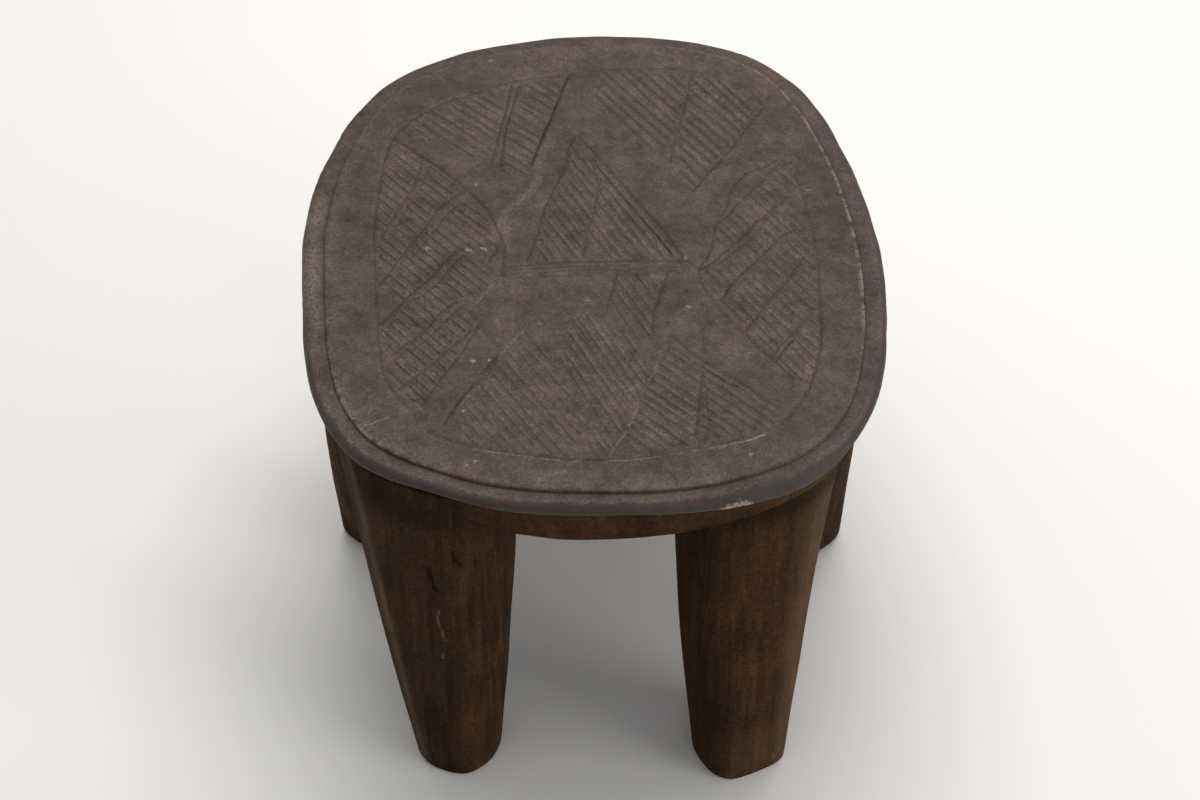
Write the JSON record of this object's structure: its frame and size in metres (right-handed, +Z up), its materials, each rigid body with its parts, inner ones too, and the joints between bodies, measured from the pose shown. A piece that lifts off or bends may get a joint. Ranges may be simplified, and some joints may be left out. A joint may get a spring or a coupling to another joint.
{
  "type": "carved wooden stool",
  "caption": "Low oblong stool carved from dark wood: a rounded seat with incised hatching, a stepped-down lip and a sloping apron, on thick tapering legs.",
  "frame": {"origin": "on the floor, under the middle of the seat's box", "axes": "+Z up, +Y along the seat's length towards its rear, +X to the right as seen from the front"},
  "size_m": [0.33, 0.418, 0.248],
  "materials": {
    "seat_wood": "incised, grey-brown with handling, slight sheen",
    "leg_wood": "adzed, dark brown, satin"
  },
  "bodies": {
    "root": {"seat": "seat_wood", "leg_front_left": "leg_wood", "leg_front_right": "leg_wood", "leg_middle_left": "leg_wood", "leg_middle_right": "leg_wood", "leg_rear_left": "leg_wood", "leg_rear_right": "leg_wood"}
  },
  "joints": []
}
